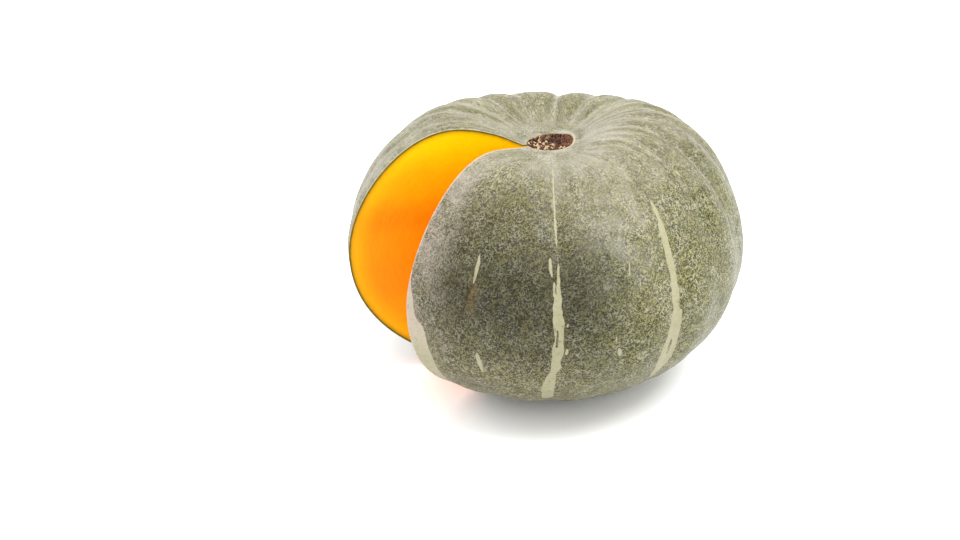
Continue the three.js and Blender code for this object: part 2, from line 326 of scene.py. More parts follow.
class Nodes:
    """Short calls for building one material's nodes."""

    def __init__(self, name):
        self.material = bpy.data.materials.new(name)
        self.material.use_nodes = True
        self.tree = self.material.node_tree
        self.shader = self.tree.nodes["Principled BSDF"]

    def put(self, socket, value):
        if isinstance(value, bpy.types.NodeSocket):
            self.tree.links.new(value, socket)
        else:
            socket.default_value = value

    def node(self, kind, **values):
        node = self.tree.nodes.new(kind)
        for key, value in values.items():
            setattr(node, key, value)
        return node

    def attribute(self, name, output="Fac"):
        return self.node("ShaderNodeAttribute", attribute_name=name).outputs[output]

    def millimetres(self):
        place = self.node("ShaderNodeTexCoord").outputs["Object"]
        return self.scaled(place, 1 / MM)

    def scaled(self, vector, scale):
        node = self.node("ShaderNodeVectorMath", operation="SCALE")
        self.put(node.inputs[0], vector)
        self.put(node.inputs["Scale"], scale)
        return node.outputs[0]

    def stretched(self, vector, scales):
        node = self.node("ShaderNodeVectorMath", operation="MULTIPLY")
        self.put(node.inputs[0], vector)
        node.inputs[1].default_value = scales
        return node.outputs[0]

    def moved(self, vector, by):
        node = self.node("ShaderNodeVectorMath", operation="ADD")
        self.put(node.inputs[0], vector)
        self.put(node.inputs[1], by)
        return node.outputs[0]

    def noise(self, vector, size, detail=2.0, rough=0.5, output="Fac"):
        node = self.node("ShaderNodeTexNoise")
        self.put(node.inputs["Vector"], vector)
        node.inputs["Scale"].default_value = 1 / size
        node.inputs["Detail"].default_value = detail
        node.inputs["Roughness"].default_value = rough
        return node.outputs[output]

    def cells(self, vector, size):
        """How far the middle of the nearest of many scattered cells is, as a share of their size."""
        node = self.node("ShaderNodeTexVoronoi")
        self.put(node.inputs["Vector"], vector)
        node.inputs["Scale"].default_value = 1 / size
        return node.outputs["Distance"]

    def step(self, value, low, high, start=0.0, end=1.0):
        """From start to end, smoothly, as the value goes from low to high."""
        node = self.node("ShaderNodeMapRange", interpolation_type="SMOOTHSTEP")
        self.put(node.inputs["Value"], value)
        for key, number in (("From Min", low), ("From Max", high), ("To Min", start), ("To Max", end)):
            self.put(node.inputs[key], number)
        return node.outputs["Result"]

    def math(self, operation, a, b=0.0):
        node = self.node("ShaderNodeMath", operation=operation)
        self.put(node.inputs[0], a)
        self.put(node.inputs[1], b)
        return node.outputs[0]

    def times(self, a, b):
        return self.math("MULTIPLY", a, b)

    def plus(self, a, b):
        return self.math("ADD", a, b)

    def minus(self, a, b):
        return self.math("SUBTRACT", a, b)

    def most(self, a, b):
        return self.math("MAXIMUM", a, b)

    def mix(self, share, a, b):
        node = self.node("ShaderNodeMix", data_type="RGBA")
        self.put(node.inputs["Factor"], share)
        self.put(node.inputs["A"], a)
        self.put(node.inputs["B"], b)
        return node.outputs["Result"]

    def blend(self, share, a, b):
        node = self.node("ShaderNodeMix", data_type="FLOAT")
        self.put(node.inputs["Factor"], share)
        self.put(node.inputs["A"], a)
        self.put(node.inputs["B"], b)
        return node.outputs["Result"]

    def parts(self, vector):
        node = self.node("ShaderNodeSeparateXYZ")
        self.put(node.inputs[0], vector)
        return node.outputs

    def thread(self, value, low, high):
        """1 along the thin lines where a noise passes its middle value."""
        off = self.math("ABSOLUTE", self.minus(value, 0.5))
        return self.step(off, low, high, 1, 0)

    def inside(self, name, ragged, seed):
        """1 inside the marks of a vector attribute, which holds what nearest_mark gives."""
        away, half, along = self.parts(self.attribute(name, "Vector"))
        spot = self.node("ShaderNodeCombineXYZ")
        for socket, value in zip(spot.inputs, (away, self.times(along, 0.2), seed)):
            self.put(socket, value)
        rough = self.minus(self.noise(spot.outputs[0], 1.1, 2, 0.6), 0.5)
        edge = self.plus(self.minus(half, self.math("ABSOLUTE", away)), self.times(rough, ragged))
        return self.step(edge, -0.12, 0.16)

    def bump(self, height, distance_mm):
        node = self.node("ShaderNodeBump")
        self.put(node.inputs["Height"], height)
        node.inputs["Distance"].default_value = distance_mm * MM
        return node.outputs["Normal"]

    def finish(self, **values):
        for key, value in values.items():
            self.put(self.shader.inputs[key.replace("_", " ")], value)
        return self.material


def screen(red, green, blue):
    """The linear colour of 0 to 255 values as a screen shows them."""
    def linear(value):
        value /= 255
        return value / 12.92 if value <= 0.04045 else ((value + 0.055) / 1.055) ** 2.4

    return np.array((linear(red), linear(green), linear(blue)))


def lit(red, green, blue):
    """The colour of a surface that shows with these screen values under the studio's light."""
    return (*((screen(red, green, blue) - GLOSS).clip(0.002) / LIGHT), 1)


def fleck_field(n, place, wobble, crown, on_crown):
    """Worm-like threads and dots on the sides, and short dashes along the ribs near the stem."""
    wide = n.thread(n.noise(n.moved(place, wobble), 1.9, 1.0, 0.5), 0.015, 0.045)
    fine = n.thread(n.noise(n.moved(place, (7, 3, 5)), 1.4, 1.0, 0.5), 0.015, 0.05)
    dots = n.step(n.noise(place, 0.85, 1.0, 0.5), 0.57, 0.63)
    patchy = n.step(n.noise(place, 2.6, 2, 0.5), 0.4, 0.58, 0.1, 1)
    gaps = n.step(n.noise(n.moved(place, (31, 8, 2)), 1.8, 1, 0.5), 0.4, 0.56, 0.15, 1)
    threads = n.most(n.times(wide, patchy), n.times(fine, gaps))
    side_flecks = n.most(threads, n.times(dots, 0.85))
    dashes = n.step(n.noise(n.stretched(crown, (1.2, 1.2, 2.3)), 0.95, 1.5, 0.5), 0.53, 0.62)
    crown_flecks = n.most(dashes, n.times(side_flecks, 0.75))
    return n.blend(on_crown, side_flecks, crown_flecks)


def flecked_skin(n, place, crown, on_crown, clouds, flecks):
    """Olive with dark cells and pale flecks, greener at the right and pinkish beside the nearer cut."""
    patches = n.noise(place, 30, 3, 0.55)
    rosy = n.times(n.attribute("rosy"), n.plus(clouds, 0.4))
    ground = n.mix(n.step(patches, 0.35, 0.68), lit(84, 79, 40), lit(101, 97, 62))
    ground = n.mix(n.attribute("green"), ground, lit(93, 101, 52))
    ground = n.mix(rosy, ground, lit(166, 152, 138))
    cells = n.step(n.noise(place, 1.1, 2, 0.6), 0.42, 0.6, 0, 0.95)
    along_ribs = n.moved(n.stretched(crown, (1, 1, 1.6)), (9, 4, 1))
    dark_dashes = n.step(n.noise(along_ribs, 1.1, 1.5, 0.5), 0.5, 0.62, 0, 0.8)
    cells = n.blend(on_crown, cells, n.most(dark_dashes, n.times(cells, 0.6)))
    cells = n.times(cells, n.minus(1.0, n.times(rosy, 0.6)))
    ground = n.mix(cells, ground, lit(44, 41, 20))
    warmth = n.step(n.noise(place, 6, 2, 0.5), 0.4, 0.62)
    fleck = n.mix(warmth, lit(180, 173, 118), lit(204, 199, 160))
    fleck = n.mix(rosy, fleck, lit(206, 194, 178))
    strength = n.times(n.step(patches, 0.3, 0.7, 0.78, 0.96), n.attribute("fleck_share"))
    return n.mix(n.times(flecks, strength), ground, fleck)


def bloom_and_highlight_field(n, crown, on_crown, clouds):
    """Waxy bloom: clouds on the sides, and bands and streaks from the stem over the ribs. The attribute
    it reads also holds a painted highlight on the front right.
    """
    bands = n.step(n.noise(n.moved(crown, (40, 9, 2)), 7.5, 2, 0.5), 0.36, 0.62)
    streaks = n.step(n.noise(n.moved(crown, (3, 70, 8)), 2.3, 2, 0.5), 0.34, 0.66)
    uneven = n.blend(on_crown, clouds, n.plus(n.times(bands, 0.5), n.times(streaks, 0.25)))
    bloom = n.times(n.attribute("bloom"), n.plus(uneven, 0.2))
    return n.plus(bloom, n.attribute("wax"))


def with_crease_light_and_shade(n, skin, place, crown):
    """Adds a pale line along each furrow between darker flanks: the line is partly bloom gathered there
    and partly a painted highlight on the fold's edge, and the flanks are painted shade.
    """
    away, share, _ = n.parts(n.attribute("crease", "Vector"))
    away = n.plus(away, n.times(n.minus(n.noise(place, 6, 2), 0.5), 2.4))
    gap = n.math("ABSOLUTE", away)
    broken = n.step(n.noise(n.moved(crown, (11, 5, 60)), 2.8, 2, 0.5), 0.38, 0.58)
    bloom_and_highlight_line = n.times(n.times(n.step(gap, 0.2, 1.5, 1, 0), share), broken)
    shaded_flank = n.times(n.times(n.step(gap, 1.2, 2.6), n.step(gap, 3.4, 6.5, 1, 0)), share)
    # Painted shade on the furrow's flanks.
    skin = n.mix(n.times(shaded_flank, 0.36), skin, lit(100, 100, 66))
    # The pale line: bloom in the crease with a painted highlight along the fold.
    return n.mix(n.times(bloom_and_highlight_line, 0.45), skin, lit(206, 202, 184))


def with_stripes(n, skin, place):
    """Adds the pale ragged stripes low in the furrows, a rusty spot, and the pale edge at the cut."""
    stripe = n.most(n.inside("stripe", 1.5, 0.0), n.inside("dash", 0.7, 30.0))
    stripe = n.times(stripe, n.minus(1.0, n.inside("hole", 0.6, 60.0)))
    pale = n.mix(n.noise(place, 3.0, 3, 0.6), lit(176, 172, 134), lit(204, 200, 168))
    pale = n.mix(n.attribute("rosy_band"), pale, lit(222, 206, 190))
    pale = n.mix(n.step(n.noise(place, 0.8, 2, 0.6), 0.55, 0.7, 0, 0.4), pale, lit(146, 142, 100))
    cover = n.step(n.noise(n.moved(place, (5, 50, 5)), 2.4, 3, 0.6), 0.28, 0.46, 0.62, 0.96)
    skin = n.mix(n.times(stripe, cover), skin, pale)
    rust = n.times(n.attribute("rust"), n.step(n.noise(place, 2.2, 3, 0.6), 0.42, 0.6))
    skin = n.mix(rust, skin, lit(146, 118, 78))
    chipped = n.step(n.noise(place, 3.5, 3, 0.6), 0.3, 0.6, 0.25, 0.85)
    return n.mix(n.step(n.attribute("to_cut"), 0.2, 0.9, chipped, 0), skin, lit(222, 210, 184))


def with_scar(n, skin, place, wobble, in_scar):
    """Adds the scar: dark cork with pale nodules, inside a pale lip."""
    nodules = n.attribute("nodules")
    knobs = n.step(n.cells(n.moved(place, n.scaled(wobble, 0.5)), 2.0), 0.36, 0.5, 1, 0)
    scattered = n.plus(n.noise(place, 2.1, 1, 0.5), nodules)
    knobs = n.times(knobs, n.step(scattered, 0.55, 0.8))
    red = n.mix(n.noise(place, 2.4, 2, 0.5), lit(104, 66, 48), lit(172, 122, 92))
    cork = n.mix(n.step(n.attribute("cork"), 0.15, 0.6), lit(52, 28, 26), red)
    cork = n.mix(n.step(n.noise(place, 0.9, 3, 0.6), 0.48, 0.62, 0, 0.6), cork, lit(56, 32, 28))
    cork = n.mix(n.times(nodules, 0.5), cork, lit(70, 46, 42))
    cork = n.mix(n.attribute("core"), cork, lit(60, 38, 36))
    knob = n.mix(n.noise(place, 1.3, 2, 0.5), lit(206, 168, 116), lit(244, 222, 188))
    cork = n.mix(knobs, cork, knob)
    skin = n.mix(n.attribute("lip"), skin, lit(240, 208, 182))
    return n.mix(in_scar, skin, cork)


def rind_material():
    n = Nodes("grey_green_rind")
    place = n.millimetres()
    crown = n.attribute("crown", "Vector")
    on_crown = n.attribute("on_crown")
    wobble = n.scaled(n.noise(place, 2.2, 2, 0.6, "Color"), 1.6)
    clouds = n.step(n.noise(place, 11, 4, 0.6), 0.3, 0.7)
    flecks = fleck_field(n, place, wobble, crown, on_crown)
    skin = flecked_skin(n, place, crown, on_crown, clouds, flecks)
    bloom = bloom_and_highlight_field(n, crown, on_crown, clouds)
    shows = n.minus(1.0, n.times(flecks, 0.35))
    pale_specks = n.times(n.step(n.noise(place, 0.9, 2, 0.6), 0.35, 0.65, 0.6, 1), shows)
    # The pale bloom colour, which also carries the painted highlight patch on the front right.
    skin = n.mix(n.times(bloom, pale_specks), skin, lit(203, 199, 183))
    # Painted shade on the front below the shoulder, over the rind's own darker patch.
    skin = n.scaled(skin, n.minus(1.0, n.attribute("dark")))
    skin = with_crease_light_and_shade(n, skin, place, crown)
    skin = with_stripes(n, skin, place)
    in_scar = n.step(n.attribute("scar"), 0.4, 0.6)
    skin = with_scar(n, skin, place, wobble, in_scar)

    grain = n.plus(n.times(flecks, 0.4), n.noise(place, 0.6, 3, 0.6))
    rough = n.step(n.noise(place, 5, 3, 0.6), 0.3, 0.7, 0.4, 0.52)
    rough = n.plus(rough, n.times(bloom, 0.12))
    rough = n.plus(rough, n.times(in_scar, 0.3))
    return n.finish(Base_Color=skin, Roughness=rough, Normal=n.bump(grain, 0.05),
                    Specular_IOR_Level=0.16, Sheen_Weight=0.05, Sheen_Roughness=0.4)


def flesh_material():
    n = Nodes("orange_flesh")
    place = n.millimetres()

    # Yellow at the top and under the rind, and orange farther in and down.
    depth = n.attribute("depth")
    level = n.attribute("level")
    fibres = n.noise(n.attribute("fibre_place", "Vector"), 1.0, 4, 0.6)
    wander = n.times(n.minus(n.noise(place, 7, 3, 0.5), 0.5), 9)
    height = n.plus(level, wander)
    flesh = n.mix(n.step(height, 18, 50), FLESH_MIDDLE, FLESH_ORANGE)
    # A deeper orange band around 88 mm up: partly the flesh's own orange, partly painted shade with
    # bounced orange light.
    band = n.times(n.step(height, 72, 88, 0, 0.5), n.step(height, 90, 106, 1, 0))
    flesh = n.mix(band, flesh, FLESH_DEEP)
    flesh = n.mix(n.step(height, 78, 104), flesh, FLESH_MIDDLE)
    flesh = n.mix(n.step(height, 100, 124), flesh, FLESH_YELLOW)
    flesh = n.mix(n.step(depth, 2.0, 12, 0.35, 0), flesh, FLESH_YELLOW)
    flesh = n.mix(n.step(fibres, 0.42, 0.7, 0, 0.12), flesh, FLESH_YELLOW)
    flesh = n.mix(n.step(n.noise(place, 1.4, 3, 0.6), 0.5, 0.75, 0, 0.12), flesh, FLESH_DEEP)

    # The pulp, with pale strands and deep sockets.
    soft = n.mix(n.step(n.noise(place, 3.2, 4, 0.65), 0.35, 0.68), FLESH_DEEP, FLESH_MIDDLE)
    soft = n.mix(n.step(n.attribute("strand"), 0.5, 0.95, 0, 0.7), soft, FLESH_PALE)
    soft = n.mix(n.step(n.attribute("socket"), 0.25, 0.9, 0, 0.85), soft, FLESH_DEEP)
    flesh = n.mix(n.attribute("pulp"), flesh, soft)

    # The rind's section: a green line along the rim, which fades inward through yellow-green.
    ragged = n.times(n.minus(n.noise(place, 2.5, 3, 0.5), 0.5), 0.5)
    edge = n.plus(depth, ragged)
    flesh = n.mix(n.step(edge, 0.6, 3.8, 0.85, 0), flesh, lit(196, 172, 10))
    flesh = n.mix(n.step(edge, 0.5, 1.4, 0.9, 0), flesh, lit(94, 92, 12))
    flesh = n.mix(n.step(depth, 0.15, 0.4, 0.8, 0), flesh, lit(196, 194, 158))

    wet = n.step(n.noise(place, 2.2, 3, 0.6), 0.35, 0.7, 0.34, 0.52)
    grain = n.plus(n.times(fibres, 0.8), n.times(n.noise(place, 0.9, 4, 0.65), 0.7))
    return n.finish(Base_Color=flesh, Roughness=wet, Normal=n.bump(grain, 0.1),
                    Specular_IOR_Level=0.08, Subsurface_Weight=0.15,
                    Subsurface_Radius=(1.0, 0.4, 0.05), Subsurface_Scale=3 * MM)


# The rind's marks are lines of (slope, bearing, half width in millimetres), from the stem downward.

# Pale stripes in the furrows.
STRIPES = (
    ((17, 239.2, 0.2), (29, 238.8, 0.36), (43, 239.1, 0.35), (52, 239.5, 0.5), (55, 239.6, 0.25),
     (58, 239.8, -0.1), (62, 240.1, 0.3), (68, 240.2, 0.6), (70, 240.1, 0.8), (74, 240.0, 1.7),
     (79, 239.9, 2.1), (85, 240.3, 2.5), (91, 240.4, 2.0), (95, 240.3, 2.5), (98, 240.2, 2.5),
     (100, 239.8, 2.0), (103.6, 240.0, 2.5), (106, 239.3, 1.6), (109, 238.7, 2.2), (113, 238.3, 2.7),
     (118, 237.9, 3.0), (126, 237.8, 2.5)),
    ((48, 276.7, 0.2), (51, 276.7, 0.8), (54, 276.4, 0.9), (57, 276.0, 1.5), (64, 275.1, 1.9),
     (70, 274.8, 2.0), (75, 274.6, 1.8), (79, 274.4, 2.3), (80, 274.6, 2.8), (83, 274.3, 2.4),
     (87.5, 274.2, 1.7), (89.5, 274.6, 3.3), (94, 274.5, 3.8), (99, 274.1, 4.3), (106, 273.7, 4.9),
     (111, 273.7, 4.6), (116, 273.6, 3.4), (122, 273, 1.0)),
    ((52, 196.2, 0.3), (71, 197.1, 0.9), (78, 197.6, 1.5), (85, 198.6, 2.4), (91, 198.9, 3.0),
     (93.2, 199.2, 3.9), (95, 200.1, 5.8), (100, 200.3, 6.2), (108, 200.3, 6.4), (119, 199.6, 6.6),
     (128, 199.2, 5.4), (136, 199, 1)),
    ((103, 306, 0.2), (108, 304.5, 0.4), (112, 302, 0.4), (116, 299.5, 0.3)),
    ((56, 349, 0.5), (64, 348, 1.4), (76, 347, 1.0), (86, 347.5, 2.3), (97, 348.2, 3.1),
     (108, 347.4, 2.0), (121, 346.5, 2.8), (130, 346, 1.5)),
    ((70, 18.6, 0.4), (78, 17.8, 1.2), (90, 17, 0.7), (101, 16.6, 2.1), (112, 17.4, 1.7),
     (124, 18, 0.6)),
    ((49, 55, 0.3), (60, 54.4, 0.8), (72, 53.8, 1.9), (84, 54.3, 1.5), (93, 54, 2.9), (105, 53.2, 2.4),
     (117, 52.8, 3.1), (131, 52, 2.2)),
    ((66, 94.2, 0.3), (77, 95, 1.3), (88, 95.7, 2.2), (99, 95.2, 1.2), (110, 94.6, 2.5),
     (125, 94, 1.4)),
    ((58, 132.4, 0.4), (69, 131.9, 1.7), (82, 131.2, 2.4), (92, 131.8, 1.6), (104, 132.2, 2.9),
     (116, 131, 2.1), (128, 130.5, 1.2)),
    ((92, 168, 0.5), (100, 167.6, 2.2), (109, 167.2, 2.8), (119, 166.8, 2.0), (129, 166.5, 0.8)),
)
# Short pale dashes between them.
DASHES = (
    ((60.3, 237.8, 0.5), (62.5, 237.9, 0.8), (64.4, 238.1, 0.7), (66.3, 238.4, 0.4)),
    ((68.2, 239.0, 0.2), (69.4, 239.0, 0.5), (73.6, 239.1, 0.6)),
    ((61.5, 217.2, 0.4), (64.2, 217.5, 0.8), (66.2, 217.4, 0.9), (68.6, 217.3, 0.6),
     (71.5, 217.2, 0.3)),
    ((99.5, 219.1, 0.8), (102.3, 219.3, 1.2), (105.2, 219.6, 1.1), (108.6, 220.0, 0.5)),
    ((64.5, 260.9, 0.2), (66, 260.7, 0.35), (69.5, 260.2, 0.2)),
    ((92.2, 255.5, 0.2), (94.2, 255.6, 0.6)),
    ((97.4, 256.6, 0.8), (99, 256.8, 1.1), (100.6, 257.1, 0.6)),
    ((44.6, 295.7, 0.4), (46.9, 296.1, 0.5)),
    ((84.5, 242.6, 0.4), (86, 242.4, 0.6)), ((95.5, 242.6, 0.6), (97.5, 242.4, 0.8)),
    ((74, 322, 0.4), (78, 321.6, 0.6)), ((58, 8, 0.4), (61, 8.2, 0.5)),
    ((88, 36, 0.5), (92, 35.6, 0.8)), ((70, 79, 0.4), (75, 78.6, 0.7)),
    ((101, 115, 0.6), (106, 114.6, 0.9)), ((83, 150, 0.4), (88, 149.6, 0.7)),
)
# Gaps in the stripes, where the green rind shows.
HOLES = (
    ((70, 239.45, 0.3), (72.8, 239.55, 0.25)),
    ((86.6, 238.5, 0.2), (87.2, 238.4, 0.45), (88, 238.4, 0.2)),
    ((87.7, 240.0, 0.3), (90.0, 240.05, 0.6), (92.3, 239.95, 0.5), (94.6, 239.9, 0.55)),
    ((100.2, 273.9, 0.5), (102.8, 274.0, 1.0), (105.8, 274.0, 0.8), (108, 274.0, 0.4)),
    ((95.5, 272.0, 0.3), (98.5, 271.7, 0.5)),
    ((96, 348.4, 0.3), (99, 348.6, 0.8), (102, 348.4, 0.4)),
    ((91, 54.2, 0.4), (95, 54, 0.9), (99, 53.8, 0.4)),
    ((115, 52.6, 0.5), (119, 52.4, 1.0)), ((86, 95.9, 0.3), (90, 95.7, 0.6)),
    ((79, 131.2, 0.4), (84, 131.1, 0.9)),
)


MARK_REACH = 9.0  # past these millimetres a point belongs to no mark
FAR_OFF = 12  # distances are cut off at these millimetres
STREAK_RADIUS, STREAK_SQUEEZE = 60, 0.16


def along_rib(slopes):
    """Millimetres along a rib, from the stem, for a slope in degrees."""
    return slopes * RADIUS * np.pi / 180


def nearest_mark(marks, slopes, bearings, radii):
    """Each point's millimetres off the nearest mark's middle line, its half width, and along the rib."""
    best = np.full(slopes.shape, -MARK_REACH)
    off = np.full(slopes.shape, MARK_REACH)
    for mark in marks:
        at, centre, half = np.array(mark, float).T
        away = (bearings - np.interp(slopes, at, centre) + 180) % 360 - 180
        away = away * np.pi / 180 * radii
        beyond = along_rib(np.maximum(at[0] - slopes, slopes - at[-1]).clip(0))
        width = np.interp(slopes, at, half) - beyond
        nearer = width - np.abs(away) > best - np.abs(off)
        best = np.where(nearer, width, best)
        off = np.where(nearer, away, off)
    best = np.where(np.abs(off) > MARK_REACH, -MARK_REACH, best)
    return np.stack([off.clip(-FAR_OFF, FAR_OFF), best.clip(-FAR_OFF, FAR_OFF), along_rib(slopes)], -1)


def crease_field(slopes, bearings, radii):
    """Each point's millimetres off the nearest furrow, how much it shows, and along the rib."""
    shift = 7 * (1 - smooth(slopes, 12, 42)) * facing(bearings, 300, 0.2, 0.9)
    shift = shift - 4 * smooth(slopes, 48, 80) * facing(bearings, 312, 0.9, 0.97)
    off = np.full(slopes.shape, 99.0)
    share = np.zeros(slopes.shape)
    for furrows, strength in ((MAIN_FURROWS, 1.0), (SHALLOW_FURROWS, 0.55)):
        for furrow in furrows:
            sway = 1.1 * sind(slopes * 4.1 + furrow * 7)
            away = (bearings - furrow - shift - sway + 180) % 360 - 180
            away = away * np.pi / 180 * radii
            nearer = np.abs(away) < np.abs(off)
            off = np.where(nearer, away, off)
            share = np.where(nearer, strength, share)
    front = 0.75 * facing(bearings, 236, 0.35, 0.8)
    reach = 62 - 22 * facing(bearings, 236, 0.3, 0.8)
    share = share * (1 - front) * smooth(slopes, 9, 20) * (1 - smooth(slopes, reach, reach + 26))
    return np.stack([off.clip(-FAR_OFF, FAR_OFF), share, along_rib(slopes)], -1)


def streak_space(slopes):
    """A place for each point in which noise is drawn out along the ribs."""
    around = STREAK_RADIUS * cosd(grid_bearings), STREAK_RADIUS * sind(grid_bearings)
    return np.stack([*around, along_rib(slopes) * STREAK_SQUEEZE], -1)


def outward_of(points):
    """The direction out of the fruit at each point of a grid."""
    outward = np.cross(np.gradient(points, axis=0), np.gradient(points, axis=1))
    outward /= np.maximum(np.linalg.norm(outward, axis=-1, keepdims=True), 1e-9)
    return outward * np.sign((outward * (points - (0, 0, WIDEST_HEIGHT))).sum(-1, keepdims=True))


def rind_relief(points, slopes, crown, on_crown, crease):
    """How far the rind's swells, ribs and creases stand out, in millimetres. It is 0 along the cut."""
    is_rind = smooth(slopes, FIRST_RIND_SLOPE, 16) * smooth(points[..., 2], 0.5, 6)
    swell = noise_at(points, 26, 3) * 0.5 + noise_at(points, 7, 2, 5.0) * 0.12 - 0.3
    ribs = noise_at(crown, 6, 2, 9.0) * 0.4 * (on_crown + 0.25 * is_rind)
    folds = (0.35 - np.exp(-((crease[..., 0] / 1.5) ** 2))) * 0.75 * crease[..., 1]
    columns, rings = np.arange(COLUMNS + 1), np.arange(len(RINGS))
    fade = (np.minimum(columns, COLUMNS - columns) / CUT_FADE_COLUMNS).clip(0, 1)
    open_ring = (rings > TOP_CORNER) & (rings < BOTTOM_CORNER)
    return (swell + ribs + folds) * is_rind * np.where(open_ring[:, None], fade, 1)


def cork_lumps(points):
    """The heights of the crumbled cork in and round the scar, in millimetres."""
    lumps = np.zeros(points.shape[:2])
    rows = slice(SCAR_RINGS + COLLAR_RINGS)
    flat = points[rows] * (1, 1, 0)
    lumps[rows] = np.abs(noise_at(flat, 2.1, 2, 3.0)) * 1.9 + noise_at(flat, 0.8, 2, 7.0) * 0.35
    return lumps


def rind_marks(points, slopes, share, radii):
    """What the rind's material reads at each point, apart from the crown, the creases and the cork."""
    bearings = grid_bearings

    def spot(bearing, slope, width, height):
        off = (bearings - bearing + 180) % 360 - 180
        return np.exp(-((off / width) ** 2) - ((slopes - slope) / height) ** 2)

    # The bloom reaches farther down at the right and beside the farther cut.
    reach = 40 + 26 * facing(bearings, 300, 0.1, 0.8) - 10 * facing(bearings, 68, 0.6, 0.95)
    reach += 70 * facing(bearings, 145, 0.5, 0.9)
    bloom = 0.12 + 0.75 * (1 - smooth(slopes, 10, reach))
    # The broad pale patch at bearing 262 and slope 56 is a painted highlight of the key lamp, not bloom.
    bloom += 0.4 * spot(262, 56, 13, 17) + 0.35 * spot(14, 34, 22, 13)
    bloom += 0.25 * spot(198, 38, 6, 15) - 0.12 * spot(240, 18, 26, 6)

    # The front below the shoulder is darker: partly the rind's own darker patch, partly painted shade
    # where little light reaches.
    front_tone_and_shade = 1.08 * facing(bearings, 231, 0.83, 0.98) * np.exp(-(((slopes - 74) / 22) ** 2))
    front_tone_and_shade += 0.3 * spot(224, 46, 16, 11) + 0.25 * spot(238, 98, 22, 12)

    # Beside the nearer cut the rind is pinkish. The distances to the cut are in millimetres.
    near_cut = np.exp(-(((bearings - 197) / 11) ** 2))
    to_cut = np.minimum(bearings - bearings[:, :1], bearings[:, -1:] - bearings) * np.pi / 180 * radii
    to_cut[:TOP_CORNER + 1] = FAR_OFF
    to_cut[BOTTOM_CORNER:] = FAR_OFF

    # In the scar, millimetres to the camera's right and toward it.
    right, toward = CAMERA_BEARING + 90, CAMERA_BEARING
    across = points[..., 0] * cosd(right) + points[..., 1] * sind(right)
    ahead = points[..., 0] * cosd(toward) + points[..., 1] * sind(toward)
    lip_shows = 0.2 + 0.75 * facing(bearings, 280, -0.3, 0.7)
    return {
        "stripe": nearest_mark(STRIPES, slopes, bearings, radii),
        "dash": nearest_mark(DASHES, slopes, bearings, radii),
        "hole": nearest_mark(HOLES, slopes, bearings, radii),
        "bloom": bloom,
        "wax": 0.5 * spot(314, 16, 26, 7),
        "green": 0.75 * facing(bearings, 300, 0.3, 1) * smooth(slopes, 34, 66),
        # Painted shade over the rind's own darker patch on the front, where the flecks also thin out.
        "dark": 0.56 * front_tone_and_shade.clip(0, 1),
        "fleck_share": 1 - 0.15 * front_tone_and_shade,
        "to_cut": to_cut.clip(0, FAR_OFF),
        "rosy": 0.75 * near_cut * smooth(slopes, 16, 34) * (1 - smooth(slopes, 84, 104)),
        "rosy_band": 0.8 * near_cut * (1 - smooth(slopes, 96, 112)),
        "rust": 0.8 * np.exp(-(((bearings - 217.2) / 1.2) ** 2 + ((slopes - 76) / 6) ** 2)),
        "scar": 1 - smooth(share, 0.9, 1.0),
        "lip": smooth(share, 0.96, 1.0) * (1 - smooth(share, 1.0, 1.16)) * lip_shows,
        "core": 0.8 * np.exp(-(((across - 1) / 5) ** 2) - ((ahead + 5.5) / 4) ** 2),
        "nodules": smooth((ahead - across) * 0.07, -0.5, 0.5),
    }


def stitched(points, marks):
    """The grid's vertices, faces and marks. Rings that don't meet the cut close on themselves."""
    rings = np.arange(len(RINGS))
    closed = (rings <= TOP_CORNER) | (rings >= BOTTOM_CORNER)
    keep = np.ones(points.shape[:2], bool)
    keep[closed, -1] = False
    number = np.cumsum(keep.ravel()).reshape(keep.shape) - 1
    number[closed, -1] = number[closed, 0]
    vertices = points[keep]
    top, bottom = len(vertices), len(vertices) + 1
    middles = [[0, 0, points[ring, :, 2].mean()] for ring in (0, -1)]
    faces = []
    for a, b in zip(number[:-1], number[1:]):
        faces += [tuple(dict.fromkeys(quad)) for quad in zip(a[:-1], b[:-1], b[1:], a[1:])]
    faces += [(top, a, b) for a, b in zip(number[0, :-1], number[0, 1:])]
    faces += [(bottom, b, a) for a, b in zip(number[-1, :-1], number[-1, 1:])]
    faces = [tuple(int(v) for v in face) for face in faces]
    marks = {key: np.concatenate([v[keep], v[0, :1], v[-1, :1]]) for key, v in marks.items()}
    return np.vstack([vertices, middles]), faces, marks


def make_rind():
    """The rind with the scar, as a piece, and its grid of points, whose edges are the cut's rims."""
    kinds = np.array([kind for kind, _ in RINGS])[:, None].repeat(COLUMNS + 1, 1)
    values = np.array([value for _, value in RINGS], float)[:, None].repeat(COLUMNS + 1, 1)
    parts = [kinds == "scar", kinds == "collar"]
    collar_slopes = SCAR_EDGE_SLOPE + (FIRST_RIND_SLOPE - SCAR_EDGE_SLOPE) * values
    slopes = np.select(parts, [SCAR_EDGE_SLOPE * values, collar_slopes], values)
    share = np.select(parts, [values, 1 + values], 3)

    radii = np.hypot(grid[..., 0], grid[..., 1])
    crown = streak_space(slopes)
    on_crown = smooth(slopes, FIRST_RIND_SLOPE, 16) * (1 - smooth(slopes, 26, 54))
    crease = crease_field(slopes, grid_bearings, radii)
    relief = rind_relief(grid, slopes, crown, on_crown, crease)
    points = grid + outward_of(grid) * relief[..., None]
    lumps = cork_lumps(points)
    points[..., 2] += (lumps - 0.4) * (1 - smooth(share, 0.82, 0.98))
    points[..., 2] = np.maximum(points[..., 2], 0)

    marks = {"crown": crown, "on_crown": on_crown, "crease": crease, "cork": (lumps / 0.9).clip(0, 1),
             **rind_marks(points, slopes, share, radii)}
    return new_piece("rind_and_scar", *stitched(points, marks), rind_material()), points


# The cut faces

